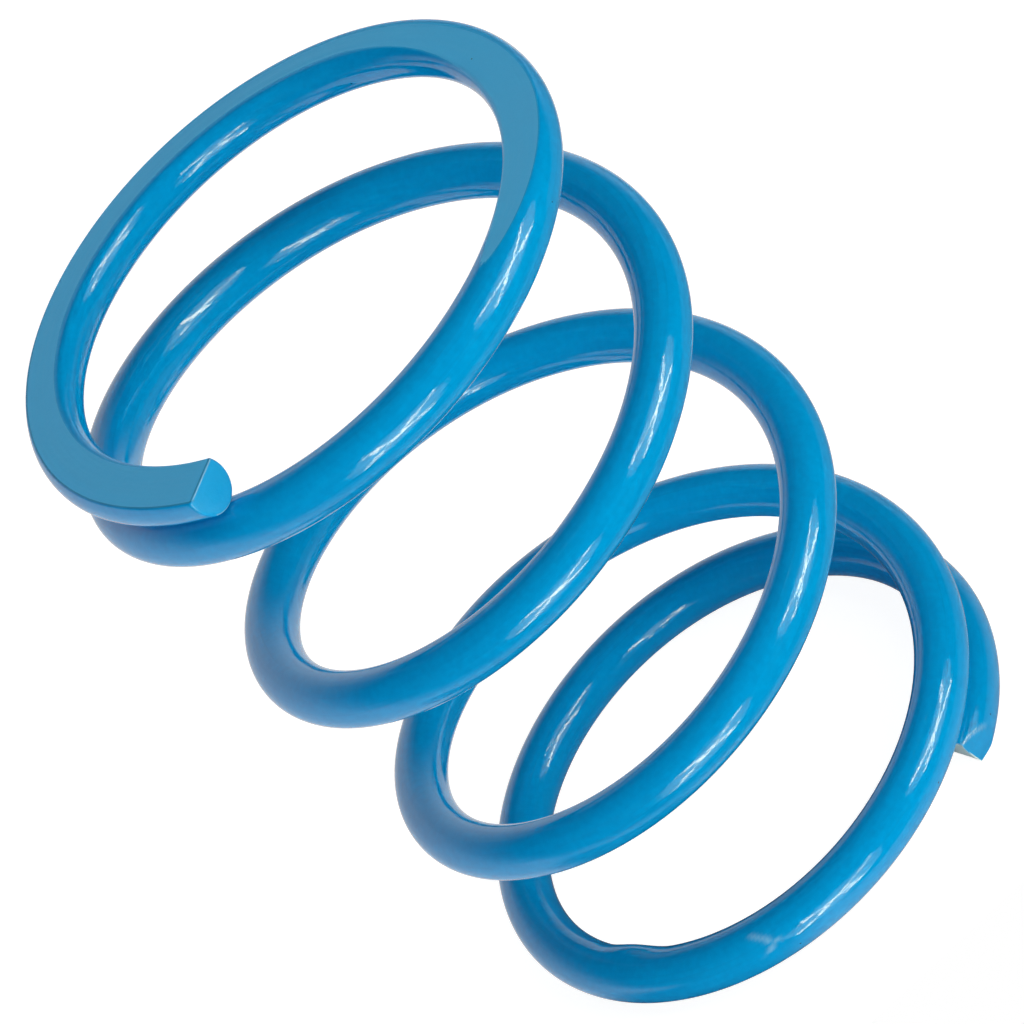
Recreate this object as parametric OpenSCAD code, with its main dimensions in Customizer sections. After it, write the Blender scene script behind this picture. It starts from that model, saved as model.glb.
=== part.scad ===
// Compression spring of a belt drive's clutch: round wire coiled right-handed, with both
// end turns closed and ground flat so that it stands square between two spring seats.
// The coil's axis is +Z and the lower ground end lies on z = 0.

/* [Wire and coil] */
// Diameter of the wire
wire_d = 5.6; // [3.5:0.1:7]
// Outside diameter of the coil
coil_od = 60; // [45:0.5:75]
// Free length between the two ground ends
free_len = 86.5; // [65:0.5:130]
// Turns of wire from tip to tip
total_turns = 4.775; // [4:0.005:8]
// Direction of the lower tip about the axis, in degrees from +X
tip_angle = 307.6; // [0:0.1:359]

/* [Closed and ground ends] */
// Rise of a closed end turn, for a whole turn
closed_lead = 0.6; // [0:0.1:2]
// Turns over which the coil opens from its closed end to its full lead
opening_turns = 0.6; // [0.4:0.01:1]
// Space between a tip and the turn next to it
tip_gap = 0.1; // [0.05:0.05:1]
// How far a cut tip springs away from its own turn
tip_lift = 0.8; // [0:0.1:1]
// Turns over which the tip springs away
tip_lift_turns = 0.2; // [0.1:0.01:0.3]
// Depth ground off the wire at each tip
grind_depth = 1.8; // [0.5:0.1:2.4]

/* [Hidden] */

wire_r = wire_d / 2;
mean_r = (coil_od - wire_d) / 2;

// Height of the wire's centre above the ground face at a tip, and its rise from tip to tip
tip_z = wire_r - grind_depth;
wire_rise = free_len - 2 * tip_z;

// What the opening adds to the first turn, so that the next turn passes just clear of the tip
open_drop = wire_d + tip_gap - tip_lift - closed_lead;
// What the opening adds over the whole coil
open_rise = wire_rise - 2 * tip_lift - closed_lead * total_turns;

// Lead that the open turns have beyond the closed ones: the next turn meets the tip either
// while the coil is still opening or, on a closely wound coil, once it is fully open
full_turns = total_turns - 2 - opening_turns;
drop_root = sqrt(2 * opening_turns * open_drop);
gain_opening = pow((sqrt(pow(drop_root, 2) + full_turns * open_rise) - drop_root) / full_turns, 2);
gain_open = (open_rise - 2 * open_drop) / (total_turns - 2);
still_opening = gain_opening * opening_turns >= 2 * open_drop;
lead_gain = still_opening ? gain_opening : gain_open;

// Turns that stay closed at each end, and where the upper end starts to close
closed_turns = still_opening
    ? 1 - sqrt(2 * opening_turns * open_drop / lead_gain)
    : 1 - opening_turns / 2 - open_drop / lead_gain;
closing_start = total_turns - closed_turns - opening_turns;

// Facets around the wire, and rings along it
wire_sides = 22;
rings_per_turn = 44;
rings = ceil(total_turns * rings_per_turn);

// Share of the full lead that the coil has reached, and the turns of full lead gained by then
function reached(x) = min(max(x, 0), 1);
function gained(x) = x < 1 ? pow(reached(x), 2) / 2 : x - 1 / 2;

// What is left of the spring-back, as a share, some turns away from a tip
function lift_left(turns) = max(0, 1 - turns / tip_lift_turns);

// Height of the wire's centre, and its rise for a whole turn, some turns from the lower tip
function wire_z(turns) =
    tip_z + closed_lead * turns
    + lead_gain * opening_turns * gained((turns - closed_turns) / opening_turns)
    - lead_gain * opening_turns * gained((turns - closing_start) / opening_turns)
    + tip_lift * (1 - pow(lift_left(turns), 2) + pow(lift_left(total_turns - turns), 2));
function wire_lead(turns) =
    closed_lead
    + lead_gain * reached((turns - closed_turns) / opening_turns)
    - lead_gain * reached((turns - closing_start) / opening_turns)
    + 2 * tip_lift / tip_lift_turns * (lift_left(turns) + lift_left(total_turns - turns));

// Point on the wire's skin: around is 0 on the outside of the coil and 90 on top of the wire
function wire_point(turns, around) =
    let (
        turned = tip_angle + 360 * turns,
        slope = atan2(wire_lead(turns), 2 * PI * mean_r),
        out = mean_r + wire_r * cos(around),
        up = wire_r * sin(around)
    )
    [
        out * cos(turned) + up * sin(slope) * sin(turned),
        out * sin(turned) - up * sin(slope) * cos(turned),
        wire_z(turns) + up * cos(slope)
    ];

// Wire as it is coiled, with square-cut tips
module coiled_wire() {
    points = [
        for (i = [0 : rings], j = [0 : wire_sides - 1])
            wire_point(i * total_turns / rings, j * 360 / wire_sides)
    ];
    function at(i, j) = i * wire_sides + j % wire_sides;
    sides = [
        for (i = [0 : rings - 1], j = [0 : wire_sides - 1], half = [0, 1])
            half == 0
                ? [at(i, j), at(i, j + 1), at(i + 1, j + 1)]
                : [at(i, j), at(i + 1, j + 1), at(i + 1, j)]
    ];
    lower_tip = [for (j = [wire_sides - 1 : -1 : 0]) at(0, j)];
    upper_tip = [for (j = [0 : wire_sides - 1]) at(rings, j)];
    polyhedron(points, concat(sides, [lower_tip, upper_tip]));
}

// Space between the two grinding wheels
module ground_space() {
    translate([-coil_od, -coil_od, 0])
        cube([2 * coil_od, 2 * coil_od, free_len]);
}

module clutch_spring() {
    color("steelblue")
        intersection() {
            coiled_wire();
            ground_space();
        }
}

clutch_spring();
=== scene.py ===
import math

import bmesh
import bpy
from mathutils import Matrix, Vector, noise


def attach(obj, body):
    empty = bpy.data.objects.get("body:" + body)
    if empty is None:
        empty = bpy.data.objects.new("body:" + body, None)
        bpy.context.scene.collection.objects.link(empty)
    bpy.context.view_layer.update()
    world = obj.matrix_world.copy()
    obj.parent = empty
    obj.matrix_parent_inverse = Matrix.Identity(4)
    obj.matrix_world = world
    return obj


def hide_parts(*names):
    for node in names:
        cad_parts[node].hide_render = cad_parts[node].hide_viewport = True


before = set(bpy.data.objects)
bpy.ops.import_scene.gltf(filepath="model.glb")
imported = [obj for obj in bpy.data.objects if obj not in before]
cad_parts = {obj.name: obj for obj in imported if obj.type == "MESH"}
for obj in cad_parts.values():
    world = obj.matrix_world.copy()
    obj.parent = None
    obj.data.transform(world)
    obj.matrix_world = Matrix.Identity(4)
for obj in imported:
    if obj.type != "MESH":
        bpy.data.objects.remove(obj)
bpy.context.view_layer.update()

# Spring wire: one length of hard-drawn round wire, coiled right-handed on a mandrel. Both end turns
# are closed and their last three quarters of a turn are ground flat, square to the coil's axis.
# The sizes are those of the part's source, here in metres.
wire_radius = 0.0028
mean_radius = 0.0272
free_length = 0.0865
total_turns = 4.775
lower_tip_angle = math.radians(307.6)
closed_lead = 0.0006
opening_turns = 0.6
tip_gap = 0.0001
tip_lift = 0.0008
tip_lift_turns = 0.2
grind_depth = 0.0018

turn_length = 2 * math.pi * mean_radius
tip_height = wire_radius - grind_depth
opening_drop = 2 * wire_radius + tip_gap - tip_lift - closed_lead
opening_rise = free_length - 2 * tip_height - 2 * tip_lift - closed_lead * total_turns
full_turns = total_turns - 2 - opening_turns
drop_root = math.sqrt(2 * opening_turns * opening_drop)
lead_gain = ((math.sqrt(drop_root ** 2 + full_turns * opening_rise) - drop_root) / full_turns) ** 2
closed_turns = 1 - math.sqrt(2 * opening_turns * opening_drop / lead_gain)
closing_start = total_turns - closed_turns - opening_turns


def share_reached(x):
    return min(max(x, 0.0), 1.0)


def share_gained(x):
    return share_reached(x) ** 2 / 2 if x < 1 else x - 0.5


def lift_left(turns):
    return max(0.0, 1 - turns / tip_lift_turns)


def wire_height(turns):
    opened = share_gained((turns - closed_turns) / opening_turns)
    closed = share_gained((turns - closing_start) / opening_turns)
    lifted = 1 - lift_left(turns) ** 2 + lift_left(total_turns - turns) ** 2
    opening = lead_gain * opening_turns * (opened - closed)
    return tip_height + closed_lead * turns + opening + tip_lift * lifted


def wire_slope(turns):
    opened = share_reached((turns - closed_turns) / opening_turns)
    closed = share_reached((turns - closing_start) / opening_turns)
    lifting = 2 / tip_lift_turns * (lift_left(turns) + lift_left(total_turns - turns))
    lead = closed_lead + lead_gain * (opened - closed) + tip_lift * lifting
    return math.atan2(lead, turn_length)


# The grinding wheel leaves an edge that is nearly sharp on the outside of the coil, and softer half a
# turn from the tip. On the inside the paint has rounded it over, most of all a third of a turn away.
outer_edge_radius = 0.00022
outer_edge_softened = 0.0006
outer_soft_start = 0.35
outer_soft_end = 0.68
outer_soft_blend = 0.1
inner_edge_radius_tip = 0.00018
inner_edge_radius_turn = 0.00095
inner_round_turns = 0.25
inner_sharp_turns = 0.85
inner_sharp_blend = 0.3


def outer_softening(turns_from_tip):
    begun = share_reached((turns_from_tip - outer_soft_start) / outer_soft_blend)
    left = share_reached((outer_soft_end - turns_from_tip) / outer_soft_blend)
    return outer_edge_softened * begun * left


def inner_edge_radius(turns_from_tip):
    begun = share_reached(turns_from_tip / inner_round_turns)
    left = share_reached((inner_sharp_turns - turns_from_tip) / inner_sharp_blend)
    return inner_edge_radius_tip + (inner_edge_radius_turn - inner_edge_radius_tip) * begun * left


# The end turn gave way under the wheel, so the flat goes on past the grinding plane and follows the
# wire down to where it runs out, four fifths of a turn from the tip.
pressed_depth = 0.00078
pressed_start = 0.5
pressed_turns = 0.18


def pressed_flat(turns_from_tip):
    share = share_reached((turns_from_tip - pressed_start) / pressed_turns)
    return pressed_depth * share ** 2 * (3 - 2 * share)


# The dull paint of the flat stops short of the rounded inner edge, but covers it at the tip and where
# the flat runs out.
dull_fade = 0.0002
dull_margin_outer = -0.0001
dull_margin_tip = -0.0003
dull_margin_gained = 0.0006
dull_margin_lost = 0.001
dull_lost_start = 0.5
dull_lost_turns = 0.12


def dull_margin_inner(turns_from_tip):
    gained = share_reached(turns_from_tip / inner_round_turns)
    lost = share_reached((turns_from_tip - dull_lost_start) / dull_lost_turns)
    return dull_margin_tip + dull_margin_gained * gained - dull_margin_lost * lost


# Edge loops run along the wire. Beside the ground flat they follow its rounded edges, and further on
# they spread evenly: how many there are in each stretch from the wire's back to the flat's middle.
loops_round = 24
loops_beside = 4
loops_edge = 7
loops_flat = 7
half_loops = loops_round + 2 * loops_beside + loops_edge + loops_flat
angle_beside = math.radians(8)
last_edge_angle = math.radians(70)
least_edge_angle = math.radians(4)
spread_room = 0.004


def loop_angle(loop, edge_start, edge_end):
    stops = [
        (0, math.radians(-90)),
        (loops_round, edge_start - angle_beside),
        (loops_round + loops_beside, edge_start),
        (loops_round + loops_beside + loops_edge, edge_end),
        (half_loops - loops_flat, edge_end + angle_beside),
        (half_loops, math.radians(90)),
    ]
    for (low, low_angle), (high, high_angle) in zip(stops, stops[1:]):
        if loop <= high:
            return low_angle + (high_angle - low_angle) * (loop - low) / (high - low)


def section_half(radius, room, edge_radius, dull_margin, fade):
    """Points out and up from the wire's back to the top of one side, with a flat at the height room."""
    ground = min(room, radius)
    edge_up = ground - edge_radius
    edge_out = math.sqrt(max(0.0, (radius - edge_radius) ** 2 - edge_up ** 2))
    round_end = math.atan2(edge_up, edge_out)
    flat_start = math.atan2(ground, edge_out)
    edge_start = min(round_end, last_edge_angle)
    edge_end = edge_start + max(flat_start - round_end, least_edge_angle)
    spread = share_reached((room - radius) / spread_room)
    points = []
    for loop in range(half_loops + 1):
        angle = loop_angle(loop, edge_start, edge_end)
        angle += (math.pi * (loop / half_loops - 0.5) - angle) * spread
        if angle <= round_end:
            reach = radius
        elif angle >= flat_start:
            reach = ground / math.sin(angle)
        else:
            across = edge_out * math.cos(angle) + edge_up * math.sin(angle)
            reach = across + math.sqrt(across ** 2 - edge_out ** 2 - edge_up ** 2 + edge_radius ** 2)
        out = reach * math.cos(angle)
        past_edge = room < radius and angle > round_end
        flatness = share_reached((edge_out - dull_margin - out) / fade) if past_edge else 0.0
        points.append((out, reach * math.sin(angle), flatness))
    return points


# Both tips were sheared off. The cut of the upper one is nearly square and its rim is rounded over.
# The lower one is cut on a slant, longer on the outside of the coil, where the shear pressed a flat
# facet with a raised and ragged burr along its upper edge.
tip_shape_length = 0.005
upper_slant_out = -0.125
upper_slant_up = -0.151
upper_rim_radius = 0.00032
lower_slant_out = 0.3
lower_slant_up = 0.14
lower_tip_shortened = 0.0003
lower_rim_radius = 0.00012
chord_rounding = 0.35
facet_reach = 0.00198
facet_taper = 0.3205
facet_lean = -0.0974
burr_height = 0.00009
burr_width = 0.0001
burr_bottom = 0.0005
burr_rise = 0.0008
burr_raggedness = 4000
burr_bare = 0.6


def tip_facet(out, up, back):
    """How far out a point of the lower tip lies once the facet is pressed, and its share in the burr."""
    limit = facet_reach + facet_taper * back + facet_lean * up
    ragged = 0.5 + 0.5 * noise.noise(Vector((back, out, up)) * burr_raggedness)
    raised = math.exp(-((out - limit) / burr_width) ** 2)
    burr = ragged * raised * share_reached((up - burr_bottom) / burr_rise)
    return min(out, limit) + burr_height * burr, burr


# On the upper tip a pale line is painted along the flat's end and a glint under it, both painted
# highlights. A darker line is drawn beside the pale one and along the flat's outer edge. The rings of
# the rim are told apart by their share of it, from 0 where it starts to 1 on the cut face.
chord_flatness = 0.9
chord_dark_ring = 0.25
glint_ring = 0.5
chord_highlight_ring = 0.75
glint_start = -1.5
glint_end = -0.8
painted_highlight_share = 0.6
chord_dark_share = 0.7
edge_dark_turns = 0.3
edge_dark_fade = 0.1


def upper_tip_lines(flatness, around, turns_from_tip, rim_share):
    """Shares of painted highlight and of darker line at a point near the upper tip."""
    on_chord = flatness > chord_flatness
    chord_highlight = on_chord and rim_share == chord_highlight_ring
    painted_glint = glint_start < around < glint_end and rim_share == glint_ring
    bare_and_highlight = painted_highlight_share if chord_highlight or painted_glint else 0.0
    if on_chord and rim_share == chord_dark_ring:
        return bare_and_highlight, chord_dark_share
    if abs(around) > math.pi / 2:
        return bare_and_highlight, 0.0
    near_tip = share_reached((edge_dark_turns - turns_from_tip) / edge_dark_fade)
    return bare_and_highlight, 2 * flatness * (1 - flatness) * near_tip


# The paint sagged into a lump on the inside of the first turn, and a run of it dried into a crooked
# ridge on the outside a little further on, with a pale painted highlight along it: turns from the lower
# tip, angle around the wire, sizes and the highlight's share.
sag_turns = 0.737
sag_around = math.radians(135)
sag_half_length = 0.0054
sag_half_angle = math.radians(46)
sag_height = 0.00042
ridge_turns = 0.8421
ridge_around = math.radians(28)
ridge_above = math.radians(42)
ridge_below = math.radians(18)
ridge_lean_above = 0.0029
ridge_lean_below = 0.0055
ridge_width = 0.0004
ridge_height = 0.00009
ridge_crook = 0.0006
ridge_crooks = 9
ridge_end_fade = 0.1
ridge_highlight = 0.25


def angle_from(middle, around):
    return (around - middle + math.pi) % (2 * math.pi) - math.pi


def sag_share(turns, around):
    away = share_reached(abs(turns - sag_turns) * turn_length / sag_half_length)
    aside = share_reached(abs(angle_from(sag_around, around)) / sag_half_angle)
    return (math.cos(away * math.pi / 2) * math.cos(aside * math.pi / 2)) ** 2


def ridge_share(turns, around):
    aside = angle_from(ridge_around, around)
    lean = ridge_lean_above if aside > 0 else ridge_lean_below
    crooked = ridge_crook * noise.noise(Vector((aside * ridge_crooks, 0, 0)))
    off = (turns - ridge_turns) * turn_length + lean * abs(aside) - crooked
    runs_out = share_reached(min(ridge_above - aside, ridge_below + aside) / ridge_end_fade)
    return runs_out * math.exp(-((off / ridge_width) ** 2))


# Each ring of the mesh is set on the coil at its turns. Its points also keep their place on the wire
# laid straight, in millimetres, and how flat and cut they are, where steel and painted highlights show
# and where darker lines are drawn, for the paint to read.
millimetres = 1000


def place_ring(ring, turns, drawn_in, rim_share):
    height = wire_height(turns)
    slope = wire_slope(turns)
    turned = lower_tip_angle + 2 * math.pi * turns
    from_tip = min(turns, total_turns - turns)
    is_upper = turns > total_turns / 2
    room = (free_length - height if is_upper else height) / math.cos(slope)
    room -= chord_rounding * drawn_in + pressed_flat(from_tip)
    radius = wire_radius - drawn_in
    softer = outer_softening(from_tip)
    outer_margin = dull_margin_outer - softer / 2
    outer_half = section_half(radius, room, outer_edge_radius + softer, outer_margin, dull_fade + softer)
    inner_margin = dull_margin_inner(from_tip)
    inner_half = section_half(radius, room, inner_edge_radius(from_tip), inner_margin, dull_fade)
    back = from_tip * turn_length
    tip_share = share_reached(1 - back / tip_shape_length)
    to_place = Matrix.Translation((0, 0, height)) @ Matrix.Rotation(turned, 4, "Z")
    to_place = to_place @ Matrix.Translation((mean_radius, 0, 0)) @ Matrix.Rotation(slope, 4, "X")
    for vert in ring:
        loop = vert[loop_number] if is_upper else (half_loops - vert[loop_number]) % (2 * half_loops)
        if loop <= half_loops:
            out, up, flatness = outer_half[loop]
        else:
            out, up, flatness = inner_half[2 * half_loops - loop]
            out = -out
        if not is_upper:
            up = -up
        around = math.atan2(up, out)
        ridge = ridge_share(turns, around)
        swell = 1 + (sag_height * sag_share(turns, around) + ridge_height * ridge) / wire_radius
        out *= swell
        up *= swell
        if is_upper:
            beyond = (upper_slant_out * out + upper_slant_up * up) * tip_share
            # Near the upper tip: painted highlights on the chord and in a glint, and darker lines.
            bare_and_highlight, dark_line = upper_tip_lines(flatness, around, from_tip, rim_share)
            cut = share_reached(2 * rim_share)
        else:
            slant = (lower_slant_out * out + lower_slant_up * up - lower_tip_shortened) * tip_share
            out, burr = tip_facet(out, up, back - slant)
            beyond = -slant
            # On the lower tip the steel shows at the rim and the burr, and a painted highlight follows
            # the ridge.
            bare_and_highlight = max(rim_share, burr_bare * burr, ridge_highlight * ridge)
            dark_line = 0.0
            cut = rim_share
        vert.co = to_place @ Vector((out, beyond, up))
        vert[straight_wire] = Vector((out, up, turn_length * turns + beyond)) * millimetres
        vert[ground_flat] = flatness
        vert[cut_face] = cut
        vert[bare_and_highlight_edge] = bare_and_highlight
        vert[dark_edge_line] = dark_line


# Rings stand closer together where the tips, the ends of the flats, the sag and the ridge need them:
# turns at which each stretch ends, and how many rings it has.
ring_stretches = (
    (0.03, 20),
    (0.70, 110),
    (0.86, 90),
    (3.94, 430),
    (4.12, 80),
    (4.745, 90),
    (total_turns, 20),
)
rim_rings = 4

bm = bmesh.new()
loop_number = bm.verts.layers.int.new("loop_number")
straight_wire = bm.verts.layers.float_vector.new("straight_wire")
ground_flat = bm.verts.layers.float.new("ground_flat")
cut_face = bm.verts.layers.float.new("cut_face")
bare_and_highlight_edge = bm.verts.layers.float.new("bare_and_highlight_edge")
dark_edge_line = bm.verts.layers.float.new("dark_edge_line")

rings = []
for k in range(rim_rings):
    rim_angle = math.pi / 2 * (rim_rings - k) / rim_rings
    drawn_in = lower_rim_radius * (1 - math.cos(rim_angle))
    turns = lower_rim_radius * (1 - math.sin(rim_angle)) / turn_length
    rings.append((turns, drawn_in, 1 - k / rim_rings))
start = lower_rim_radius / turn_length
for end, count in ring_stretches:
    end = min(end, total_turns - upper_rim_radius / turn_length)
    rings += [(start + (end - start) * k / count, 0.0, 0.0) for k in range(count)]
    start = end
for k in range(rim_rings + 1):
    rim_angle = math.pi / 2 * k / rim_rings
    drawn_in = upper_rim_radius * (1 - math.cos(rim_angle))
    turns = total_turns - upper_rim_radius * (1 - math.sin(rim_angle)) / turn_length
    rings.append((turns, drawn_in, k / rim_rings))

first_ring = bmesh.ops.create_circle(bm, segments=2 * half_loops, radius=wire_radius)["verts"]
for loop, vert in enumerate(first_ring):
    vert[loop_number] = loop
place_ring(first_ring, *rings[0])
lower_tip_edges = list(bm.edges)
ring_edges = lower_tip_edges
for ring in rings[1:]:
    grown = bmesh.ops.extrude_edge_only(bm, edges=ring_edges)["geom"]
    ring_edges = [g for g in grown if isinstance(g, bmesh.types.BMEdge)]
    place_ring([g for g in grown if isinstance(g, bmesh.types.BMVert)], *ring)
for edges in (lower_tip_edges, ring_edges):
    bmesh.ops.contextual_create(bm, geom=edges)
bmesh.ops.recalc_face_normals(bm, faces=bm.faces)
for face in bm.faces:
    face.smooth = len(face.verts) <= 4
mesh = bpy.data.meshes.new("clutch_spring_wire")
bm.to_mesh(mesh)
bm.free()
spring = bpy.data.objects.new("clutch_spring_wire", mesh)
bpy.context.collection.objects.link(spring)

# Paint: the whole spring is dipped or sprayed in a glossy blue after grinding, flats and tips too. The
# drawing marks of the wire show through it as streaks, it has pinholes, and it is duller over the
# ground flats and the cut tips, where the steel under it is rough.
blue_dark = (0.0, 0.244, 0.568)
blue_light = (0.0, 0.27, 0.61)
streak_blue = (0.0, 0.18, 0.45)
# The flats' lighter blue is partly the hazed paint on ground steel and partly painted light, brightening
# these upward-facing faces.
flat_blue_dark = (0.04, 0.365, 0.67)
flat_blue_light = (0.055, 0.40, 0.73)
cut_blue_dark = (0.0, 0.28, 0.635)
cut_blue_light = (0.0, 0.31, 0.68)
pinhole_black = (0.0, 0.03, 0.07)
# Dark grey for the darker lines drawn beside the upper tip's chord and along the flat's outer edge near
# it.
dark_line_grey = (0.03, 0.10, 0.17)
# Pale steel grey: the steel showing at the lower tip and its burr, and painted highlights along the
# ridge, the upper tip's chord and a glint under it.
steel_and_highlight_pale = (0.52, 0.64, 0.68)
flat_roughness = 0.34
cut_roughness = 0.3

paint = bpy.data.materials.new("blue_paint")
paint.use_nodes = True
nodes = paint.node_tree.nodes
links = paint.node_tree.links
shader = nodes["Principled BSDF"]
shader.inputs["IOR"].default_value = 1.6


def mesh_value(name, output):
    attribute = nodes.new("ShaderNodeAttribute")
    attribute.attribute_name = name
    return attribute.outputs[output]


def paint_noise(stretch, scale, detail):
    """Noise on the wire laid straight, in millimetres, drawn out along it by the stretch."""
    drawn_out = nodes.new("ShaderNodeMapping")
    drawn_out.inputs["Scale"].default_value = (1, 1, 1 / stretch)
    links.new(on_wire, drawn_out.inputs["Vector"])
    texture = nodes.new("ShaderNodeTexNoise")
    texture.inputs["Scale"].default_value = scale
    texture.inputs["Detail"].default_value = detail
    links.new(drawn_out.outputs["Vector"], texture.inputs["Vector"])
    return texture.outputs["Fac"]


def ranged(value, from_low, from_high, to_low, to_high, blend="LINEAR"):
    ramp = nodes.new("ShaderNodeMapRange")
    ramp.interpolation_type = blend
    ramp.inputs["From Min"].default_value = from_low
    ramp.inputs["From Max"].default_value = from_high
    ramp.inputs["To Min"].default_value = to_low
    ramp.inputs["To Max"].default_value = to_high
    links.new(value, ramp.inputs["Value"])
    return ramp.outputs["Result"]


def combined(operation, first, second):
    maths = nodes.new("ShaderNodeMath")
    maths.operation = operation
    links.new(first, maths.inputs[0])
    links.new(second, maths.inputs[1])
    return maths.outputs["Value"]


def mixed(factor, first, second):
    mix = nodes.new("ShaderNodeMix")
    mix.data_type = "RGBA"
    links.new(factor, mix.inputs[0])
    for colour, socket in ((first, mix.inputs[6]), (second, mix.inputs[7])):
        if isinstance(colour, tuple):
            socket.default_value = (*colour, 1)
        else:
            links.new(colour, socket)
    return mix.outputs[2]


on_wire = mesh_value("straight_wire", "Vector")
on_flat = mesh_value("ground_flat", "Fac")
on_cut = mesh_value("cut_face", "Fac")
on_bare_and_highlight = mesh_value("bare_and_highlight_edge", "Fac")
on_dark_line = mesh_value("dark_edge_line", "Fac")

streaks = paint_noise(stretch=40, scale=2.6, detail=3)
ripples = paint_noise(stretch=9, scale=0.8, detail=1)
orange_peel = paint_noise(stretch=1, scale=1.6, detail=1)
grain = paint_noise(stretch=1, scale=9, detail=2)

pinholes = nodes.new("ShaderNodeTexVoronoi")
pinholes.inputs["Scale"].default_value = 0.22
links.new(on_wire, pinholes.inputs["Vector"])
pinhole = ranged(pinholes.outputs["Distance"], 0.016, 0.026, 1, 0)

colour = mixed(ranged(orange_peel, 0.3, 0.7, 0, 1), blue_dark, blue_light)
colour = mixed(ranged(streaks, 0.58, 0.75, 0, 0.35), colour, streak_blue)
colour = mixed(on_flat, colour, mixed(grain, flat_blue_dark, flat_blue_light))
colour = mixed(on_cut, colour, mixed(grain, cut_blue_dark, cut_blue_light))
colour = mixed(pinhole, colour, pinhole_black)
# The darker lines, then the steel and the painted highlights, go over the blue.
colour = mixed(on_dark_line, colour, dark_line_grey)
colour = mixed(on_bare_and_highlight, colour, steel_and_highlight_pale)
links.new(colour, shader.inputs["Base Color"])

gloss = ranged(streaks, 0.35, 0.7, 0.02, 0.08)
flat_dulled = ranged(on_flat, 0, 1, 0, flat_roughness)
cut_dulled = ranged(on_cut, 0, 1, 0, cut_roughness)
roughness = combined("MAXIMUM", gloss, combined("MAXIMUM", flat_dulled, cut_dulled))
links.new(roughness, shader.inputs["Roughness"])

normal = None
for height, depth in (
    (orange_peel, 0.000012),
    (ripples, 0.00003),
    (streaks, 0.00002),
    (grain, 0.000002),
):
    bump = nodes.new("ShaderNodeBump")
    bump.inputs["Distance"].default_value = depth
    links.new(height, bump.inputs["Height"])
    if normal:
        links.new(normal, bump.inputs["Normal"])
    normal = bump.outputs["Normal"]
links.new(normal, shader.inputs["Normal"])
mesh.materials.append(paint)
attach(spring, "root")
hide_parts("clutch_spring")

# Camera: far off with a long lens, looking down at 36 degrees, and rolled so that the coil's axis
# leans over to the upper left of the frame.
view_elevation = math.radians(36.165)
view_azimuth = math.radians(-0.249)
view_roll = math.radians(42.79)
view_distance = 0.46316
view_aside = 0.00139
view_down = 0.00147
camera_data = bpy.data.cameras.new("camera")
camera_data.sensor_width = 36
camera_data.lens = 163.76
camera_data.clip_start = 0.01
camera = bpy.data.objects.new("camera", camera_data)
bpy.context.collection.objects.link(camera)
spring_middle = Vector((0, 0, free_length / 2))
tilt = Matrix.Rotation(math.radians(90) - view_elevation, 4, "X")
look = Matrix.Rotation(view_azimuth, 4, "Z") @ tilt @ Matrix.Rotation(-view_roll, 4, "Z")
step_back = Matrix.Translation((-view_aside, view_down, view_distance))
camera.matrix_world = Matrix.Translation(spring_middle) @ look @ step_back
bpy.context.scene.camera = camera

# Table: a white sheet under the spring, which ends just in front of it, with the dark room beyond.
# The camera sees it as white as the room behind it, with the spring's soft shadow on it. The paint
# mirrors it as white too, with a painted shadow in the patch that the coil closes in, and painted
# shade in front and on the right.
sheet_half = 0.5
sheet_front = -0.04
sheet_drop = 0.00003
toward_front = (-0.66, -0.75, 0)
toward_right = (0.88, -0.48, 0)
floor_mesh = bpy.data.meshes.new("table_sheet")
bm = bmesh.new()
bmesh.ops.create_grid(bm, x_segments=1, y_segments=1, size=sheet_half)
bmesh.ops.translate(bm, verts=bm.verts, vec=(0, sheet_front + sheet_half, -sheet_drop))
bm.to_mesh(floor_mesh)
bm.free()
floor = bpy.data.objects.new("table_sheet", floor_mesh)
bpy.context.collection.objects.link(floor)
sheet_white = bpy.data.materials.new("sheet_white")
sheet_white.use_nodes = True
nodes = sheet_white.node_tree.nodes
links = sheet_white.node_tree.links
nodes.remove(nodes["Principled BSDF"])


def vector_node(operation, vector, second=None):
    node = nodes.new("ShaderNodeVectorMath")
    node.operation = operation
    links.new(vector, node.inputs[0])
    if second:
        node.inputs[1].default_value = second
    return node


card = nodes.new("ShaderNodeBsdfDiffuse")
card.inputs["Color"].default_value = (0.85, 0.85, 0.85, 1)
shadow = nodes.new("ShaderNodeBsdfDiffuse")
shadow.inputs["Color"].default_value = (0.34, 0.3, 0.27, 1)
glow = nodes.new("ShaderNodeEmission")
glow.inputs["Strength"].default_value = 0.91
shaded_glow = nodes.new("ShaderNodeAddShader")
links.new(shadow.outputs[0], shaded_glow.inputs[0])
links.new(glow.outputs[0], shaded_glow.inputs[1])

place = nodes.new("ShaderNodeTexCoord").outputs["Object"]
from_axis = vector_node("LENGTH", place).outputs["Value"]
# Painted shadow and shade in what the paint mirrors: dim inside the coil, in front and on the right.
painted_coil_shadow = ranged(from_axis, 0.022, 0.032, 0.03, 0.75, "SMOOTHSTEP")
outward = vector_node("NORMALIZE", place).outputs["Vector"]
to_front = vector_node("DOT_PRODUCT", outward, toward_front).outputs["Value"]
painted_front_shade = ranged(to_front, 0.84, 0.97, 1.0, 0.05, "SMOOTHSTEP")
to_right = vector_node("DOT_PRODUCT", place, toward_right).outputs["Value"]
painted_right_shade = ranged(to_right, 0.01, 0.05, 1.0, 0.22, "SMOOTHSTEP")
mirrored_white_with_shade = combined("MULTIPLY", combined("MULTIPLY", painted_coil_shadow, painted_front_shade), painted_right_shade)
mirrored = nodes.new("ShaderNodeEmission")
links.new(mirrored_white_with_shade, mirrored.inputs["Strength"])

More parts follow.
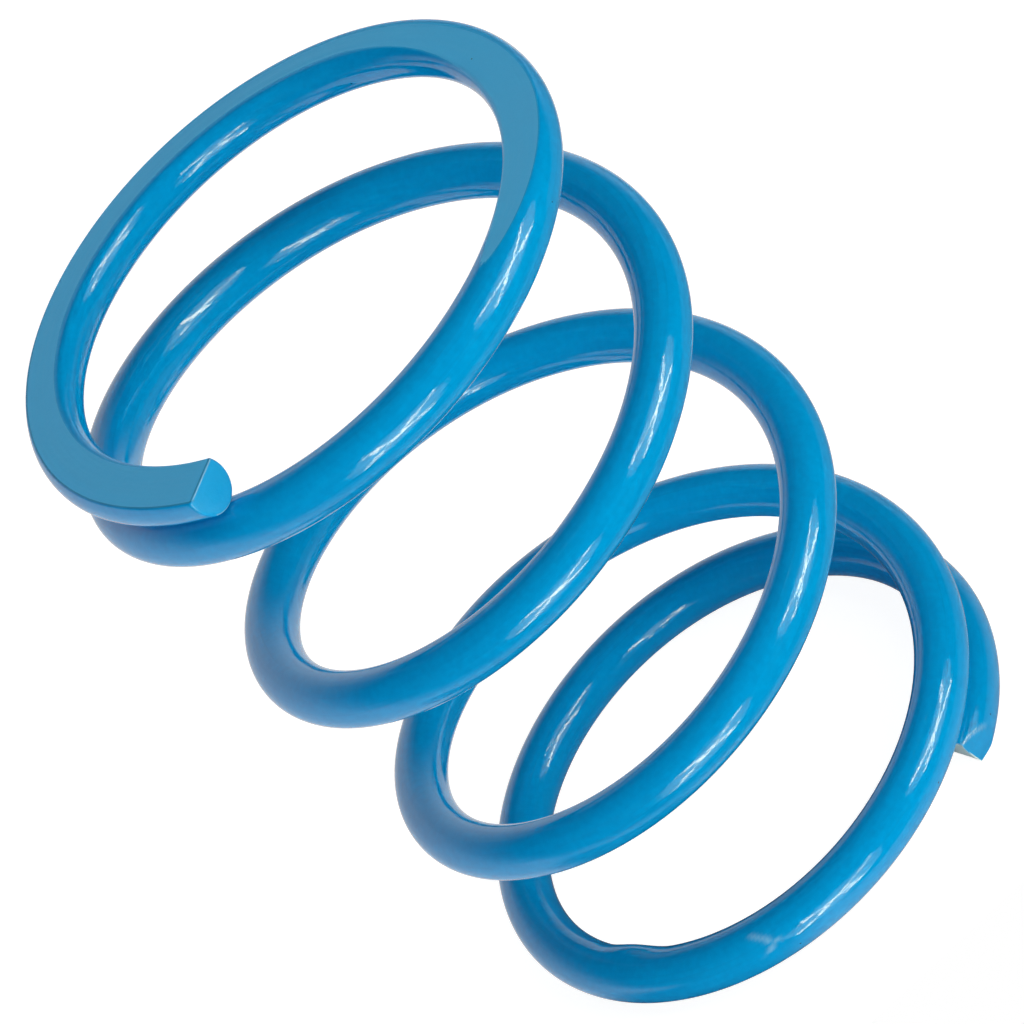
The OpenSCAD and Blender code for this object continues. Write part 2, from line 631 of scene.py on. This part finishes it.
paths = nodes.new("ShaderNodeLightPath")
by_mirror = combined("MAXIMUM", paths.outputs["Is Glossy Ray"], paths.outputs["Is Transmission Ray"])
unseen = nodes.new("ShaderNodeMixShader")
links.new(by_mirror, unseen.inputs["Fac"])
links.new(card.outputs[0], unseen.inputs[1])
links.new(mirrored.outputs[0], unseen.inputs[2])
as_seen = nodes.new("ShaderNodeMixShader")
links.new(paths.outputs["Is Camera Ray"], as_seen.inputs["Fac"])
links.new(unseen.outputs[0], as_seen.inputs[1])
links.new(shaded_glow.outputs[0], as_seen.inputs[2])
links.new(as_seen.outputs[0], nodes["Material Output"].inputs["Surface"])
floor_mesh.materials.append(sheet_white)

# Room: white behind the spring, as a sweep is, and dark on the camera's side, where the paint shows
# nothing but its own blue and the two softboxes.
sweep_direction = (-0.17, 0.65, -0.74)
right_direction = (0.734, -0.401, -0.548)
world = bpy.data.worlds.new("room")
bpy.context.scene.world = world
world.use_nodes = True
nodes = world.node_tree.nodes
links = world.node_tree.links
place = nodes.new("ShaderNodeTexCoord").outputs["Generated"]
to_sweep = vector_node("DOT_PRODUCT", place, sweep_direction).outputs["Value"]
sweep = ranged(to_sweep, 0.0, 0.5, 0.012, 0.75, "SMOOTHSTEP")
to_right = vector_node("DOT_PRODUCT", place, right_direction).outputs["Value"]
right_side = ranged(to_right, -0.2, 0.8, 1.0, 0.4, "SMOOTHSTEP")
paths = nodes.new("ShaderNodeLightPath")
as_seen = nodes.new("ShaderNodeMix")
as_seen.inputs["B"].default_value = 1.0
links.new(paths.outputs["Is Camera Ray"], as_seen.inputs["Factor"])
links.new(combined("MULTIPLY", sweep, right_side), as_seen.inputs["A"])
background = nodes["Background"]
background.inputs["Color"].default_value = (1, 1, 1, 1)
links.new(as_seen.outputs["Result"], background.inputs["Strength"])

# Softboxes: one high on the right and one low in front, both on the camera's side. Each is a round
# cloth front, brightest in the middle, with the lamp's four ribs showing through as brighter lines.
lamp_distance = 0.6
softbox_turned = math.radians(45)
rib_half_width = 0.035
rib_glow = 10.0
cloth_glow = 1.2
cloth_rim_glow = 0.4


def hang_lamp(name, light, direction, turned):
    lamp = bpy.data.objects.new(name, light)
    bpy.context.collection.objects.link(lamp)
    toward = Vector(direction).normalized()
    facing_in = toward.to_track_quat("Z", "Y").to_matrix().to_4x4() @ Matrix.Rotation(turned, 4, "Z")
    lamp.matrix_world = Matrix.Translation(spring_middle + toward * lamp_distance) @ facing_in
    return lamp


for name, direction in (
    ("softbox_right", (0.713, -0.504, 0.484)),
    ("softbox_front", (-0.203, -0.976, -0.037)),
):
    softbox = bpy.data.lights.new(name, "AREA")
    softbox.shape = "DISK"
    softbox.size = 0.5
    softbox.energy = 1.2
    softbox.color = (0.95, 1.0, 0.78)
    softbox.use_nodes = True
    nodes = softbox.node_tree.nodes
    links = softbox.node_tree.links
    front = nodes.new("ShaderNodeNewGeometry")
    from_middle = vector_node("SUBTRACT", front.outputs["Parametric"], (0.5, 0.5, 0)).outputs["Vector"]
    to_rim = vector_node("LENGTH", from_middle).outputs["Value"]
    cloth = ranged(to_rim, 0, 0.5, cloth_glow, cloth_rim_glow)
    across = nodes.new("ShaderNodeSeparateXYZ")
    links.new(from_middle, across.inputs[0])
    beside = []
    for axis in ("X", "Y"):
        aside = nodes.new("ShaderNodeMath")
        aside.operation = "ABSOLUTE"
        links.new(across.outputs[axis], aside.inputs[0])
        beside.append(aside.outputs["Value"])
    rib = ranged(combined("MINIMUM", *beside), 0, rib_half_width, rib_glow, 0, "SMOOTHSTEP")
    links.new(combined("ADD", cloth, rib), nodes["Emission"].inputs["Strength"])
    hang_lamp(name, softbox, direction, softbox_turned)

# Fills: three wide lights that the gloss doesn't show, bluish from the left and from above and white
# from the right, which bring the blue up to a plain level.
for name, direction, energy, tint in (
    ("fill_left", (-0.82, -0.564, 0.1), 2.1, (0.78, 0.92, 1.0)),
    ("fill_above", (0.21, 0.2, 0.96), 1.5, (0.78, 0.92, 1.0)),
    ("fill_right", (0.72, -0.68, 0.02), 2.2, (1.0, 1.0, 0.97)),
):
    fill = bpy.data.lights.new(name, "AREA")
    fill.shape = "SQUARE"
    fill.size = 0.6
    fill.energy = energy
    fill.color = tint
    hang_lamp(name, fill, direction, 0).visible_glossy = False

bpy.context.scene.view_settings.view_transform = "Standard"
